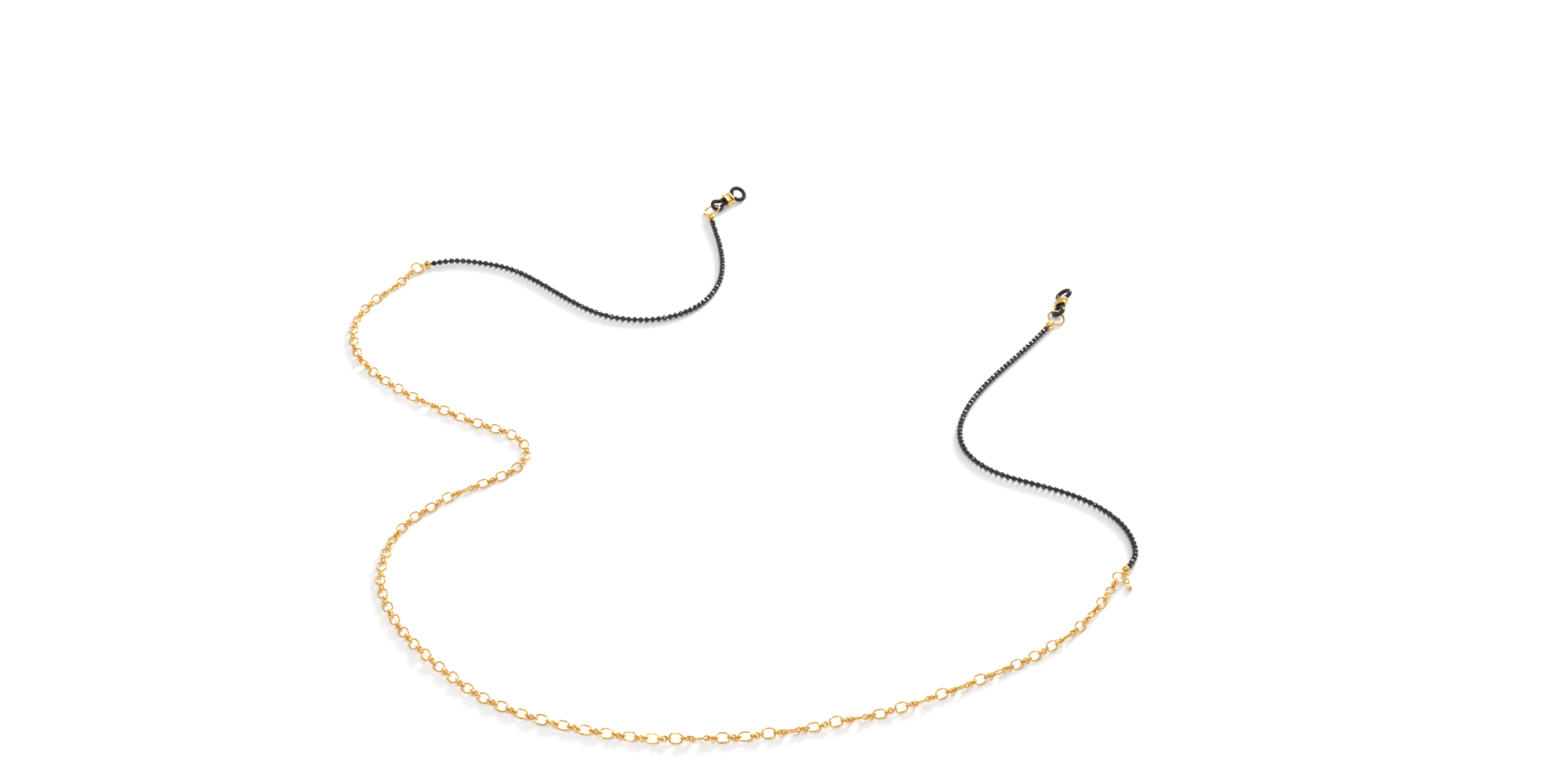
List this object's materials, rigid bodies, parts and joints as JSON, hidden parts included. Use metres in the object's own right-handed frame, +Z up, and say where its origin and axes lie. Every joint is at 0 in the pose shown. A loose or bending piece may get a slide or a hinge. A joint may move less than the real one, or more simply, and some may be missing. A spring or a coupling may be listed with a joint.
{
  "type": "eyeglasses chain strap",
  "caption": "Eyeglasses neck strap: oval link chain between two beaded strands, each ending in a rubber temple loop with a sliding sleeve.",
  "frame": {"origin": "middle of the footprint of the metal chain, fittings and rubber loops, on the surface the strap lies on", "axes": "+Z up from the surface; +X from the left temple loop's side towards the right one's; +Y from the chain's bow towards the temple loops"},
  "size_m": [0.2538, 0.2943, 0.0043],
  "materials": {
    "gold_chain": "polished gold-coloured plating",
    "gold_fitting": "polished gold-coloured plating",
    "crimp": "satin",
    "black_bead": "glossy facets",
    "black_thread": "twisted nylon",
    "black_rubber": "satin"
  },
  "bodies": {
    "chain_01": {"chain_01_large_links": "gold_chain", "chain_01_small_links": "gold_chain"},
    "chain_02": {"chain_02_large_links": "gold_chain", "chain_02_small_links": "gold_chain"},
    "chain_03": {"chain_03_large_links": "gold_chain", "chain_03_small_links": "gold_chain"},
    "chain_04": {"chain_04_large_links": "gold_chain", "chain_04_small_links": "gold_chain"},
    "chain_05": {"chain_05_large_links": "gold_chain", "chain_05_small_links": "gold_chain"},
    "chain_06": {"chain_06_large_links": "gold_chain", "chain_06_small_links": "gold_chain"},
    "chain_07": {"chain_07_large_links": "gold_chain", "chain_07_small_links": "gold_chain"},
    "chain_08": {"chain_08_large_links": "gold_chain", "chain_08_small_links": "gold_chain"},
    "chain_09": {"chain_09_large_links": "gold_chain", "chain_09_small_links": "gold_chain"},
    "chain_10": {"chain_10_large_links": "gold_chain", "chain_10_small_links": "gold_chain"},
    "chain_11": {"chain_11_large_links": "gold_chain", "chain_11_small_links": "gold_chain"},
    "chain_12": {"chain_12_large_links": "gold_chain", "chain_12_small_links": "gold_chain"},
    "chain_13": {"chain_13_large_links": "gold_chain", "chain_13_small_links": "gold_chain"},
    "chain_14": {"chain_14_large_links": "gold_chain", "chain_14_small_links": "gold_chain"},
    "chain_15": {"chain_15_large_links": "gold_chain", "chain_15_small_links": "gold_chain"},
    "left_chain_ring": {"left_chain_ring": "gold_fitting"},
    "left_strand": {"left_thread": "black_thread", "left_beads": "black_bead", "left_upper_bead_tip": "gold_fitting", "left_upper_crimp": "crimp", "left_lower_bead_tip": "gold_fitting", "left_lower_crimp": "crimp"},
    "left_jump_ring": {"left_jump_ring": "gold_fitting"},
    "left_temple_loop": {"left_temple_loop": "black_rubber"},
    "left_loop_sleeve": {"left_loop_sleeve": "gold_fitting"},
    "right_chain_ring": {"right_chain_ring": "gold_fitting"},
    "right_strand": {"right_thread": "black_thread", "right_beads": "black_bead", "right_upper_bead_tip": "gold_fitting", "right_upper_crimp": "crimp", "right_lower_bead_tip": "gold_fitting", "right_lower_crimp": "crimp"},
    "right_jump_ring": {"right_jump_ring": "gold_fitting"},
    "right_temple_loop": {"right_temple_loop": "black_rubber"},
    "right_loop_sleeve": {"right_loop_sleeve": "gold_fitting"},
    "tag_ring": {"tag_ring": "gold_fitting"},
    "tag": {"tag": "gold_fitting"}
  },
  "joints": [
    {"name": "chain_bend_08_09", "type": "hinge", "parent": "chain_08", "child": "chain_09", "pos_m": [-0.075, -0.11836, 0.00104], "axis": [0, 0, 1], "range_deg": [-25, 25]},
    {"name": "chain_bend_09_10", "type": "hinge", "parent": "chain_09", "child": "chain_10", "pos_m": [-0.04865, -0.13737, 0.00103], "axis": [0, 0, -1], "range_deg": [-25, 25]},
    {"name": "chain_bend_10_11", "type": "hinge", "parent": "chain_10", "child": "chain_11", "pos_m": [-0.01703, -0.14563, 0.00096], "axis": [0, 0, 1], "range_deg": [-25, 25]},
    {"name": "chain_bend_11_12", "type": "hinge", "parent": "chain_11", "child": "chain_12", "pos_m": [0.01566, -0.14429, 0.00128], "axis": [0, 0, -1], "range_deg": [-25, 25]},
    {"name": "chain_bend_12_13", "type": "hinge", "parent": "chain_12", "child": "chain_13", "pos_m": [0.04735, -0.1359, 0.00093], "axis": [0, 0, 1], "range_deg": [-25, 25]},
    {"name": "chain_bend_13_14", "type": "hinge", "parent": "chain_13", "child": "chain_14", "pos_m": [0.07671, -0.12142, 0.00113], "axis": [0, 0, -1], "range_deg": [-25, 25]},
    {"name": "chain_bend_14_15", "type": "hinge", "parent": "chain_14", "child": "chain_15", "pos_m": [0.10349, -0.10259, 0.00119], "axis": [0, 0, 1], "range_deg": [-25, 25]},
    {"name": "chain_bend_08_07", "type": "hinge", "parent": "chain_08", "child": "chain_07", "pos_m": [-0.09411, -0.09186, 0.00093], "axis": [0, 0, 1], "range_deg": [-25, 25]},
    {"name": "chain_bend_07_06", "type": "hinge", "parent": "chain_07", "child": "chain_06", "pos_m": [-0.09904, -0.06003, 0.00093], "axis": [0, 0, -1], "range_deg": [-25, 25]},
    {"name": "chain_bend_06_05", "type": "hinge", "parent": "chain_06", "child": "chain_05", "pos_m": [-0.08178, -0.03303, 0.00123], "axis": [0, 0, 1], "range_deg": [-25, 25]},
    {"name": "chain_bend_05_04", "type": "hinge", "parent": "chain_05", "child": "chain_04", "pos_m": [-0.05992, -0.01035, 0.00093], "axis": [0, 0, -1], "range_deg": [-25, 25]},
    {"name": "chain_bend_04_03", "type": "hinge", "parent": "chain_04", "child": "chain_03", "pos_m": [-0.08408, 0.00999, 0.00093], "axis": [0, 0, 1], "range_deg": [-25, 25]},
    {"name": "chain_bend_03_02", "type": "hinge", "parent": "chain_03", "child": "chain_02", "pos_m": [-0.11019, 0.03067, 0.00093], "axis": [0, 0, -1], "range_deg": [-25, 25]},
    {"name": "chain_bend_02_01", "type": "hinge", "parent": "chain_02", "child": "chain_01", "pos_m": [-0.1228, 0.06073, 0.00093], "axis": [0, 0, 1], "range_deg": [-25, 25]},
    {"name": "left_ring_swing", "type": "hinge", "parent": "chain_01", "child": "left_chain_ring", "pos_m": [-0.10601, 0.09533, 0.00135], "axis": [0, 0, 1], "range_deg": [-12, 12]},
    {"name": "right_ring_swing", "type": "hinge", "parent": "chain_15", "child": "right_chain_ring", "pos_m": [0.12139, -0.07527, 0.0015], "axis": [0, 0, 1], "range_deg": [-12, 12]},
    {"name": "left_strand_swing", "type": "hinge", "parent": "left_chain_ring", "child": "left_strand", "pos_m": [-0.1039, 0.09802, 0.00135], "axis": [0, 0, 1], "range_deg": [-12, 12]},
    {"name": "left_jump_ring_swing", "type": "hinge", "parent": "left_strand", "child": "left_jump_ring", "pos_m": [-0.00448, 0.13132, 0.00135], "axis": [0, 0, 1], "range_deg": [-12, 12]},
    {"name": "left_temple_loop_swing", "type": "hinge", "parent": "left_jump_ring", "child": "left_temple_loop", "pos_m": [-0.00233, 0.13622, 0.00214], "axis": [0, 0, 1], "range_deg": [-12, 12]},
    {"name": "left_sleeve_slide", "type": "slide", "parent": "left_temple_loop", "child": "left_loop_sleeve", "axis": [0.6946, 0.7193, 0.012], "range_m": [-0.00055, 0.00055]},
    {"name": "right_strand_swing", "type": "hinge", "parent": "right_chain_ring", "child": "right_strand", "pos_m": [0.12337, -0.07251, 0.00135], "axis": [0, 0, -1], "range_deg": [-12, 12]},
    {"name": "right_jump_ring_swing", "type": "hinge", "parent": "right_strand", "child": "right_jump_ring", "pos_m": [0.11185, 0.06302, 0.00135], "axis": [0, 0, 1], "range_deg": [-12, 12]},
    {"name": "right_temple_loop_swing", "type": "hinge", "parent": "right_jump_ring", "child": "right_temple_loop", "pos_m": [0.11418, 0.06806, 0.00213], "axis": [0, 0, 1], "range_deg": [-12, 12]},
    {"name": "right_sleeve_slide", "type": "slide", "parent": "right_temple_loop", "child": "right_loop_sleeve", "axis": [0.2419, 0.9702, 0.012], "range_m": [-0.00055, 0.00055]},
    {"name": "tag_ring_swing", "type": "hinge", "parent": "right_chain_ring", "child": "tag_ring", "pos_m": [0.12395, -0.07504, 0.00098], "axis": [0.5818, 0.8121, -0.0442], "range_deg": [-10, 10]},
    {"name": "tag_swing", "type": "hinge", "parent": "tag_ring", "child": "tag", "pos_m": [0.12493, -0.07576, 0.00071], "axis": [0.4035, -0.2953, 0.866], "range_deg": [-15, 15]}
  ]
}
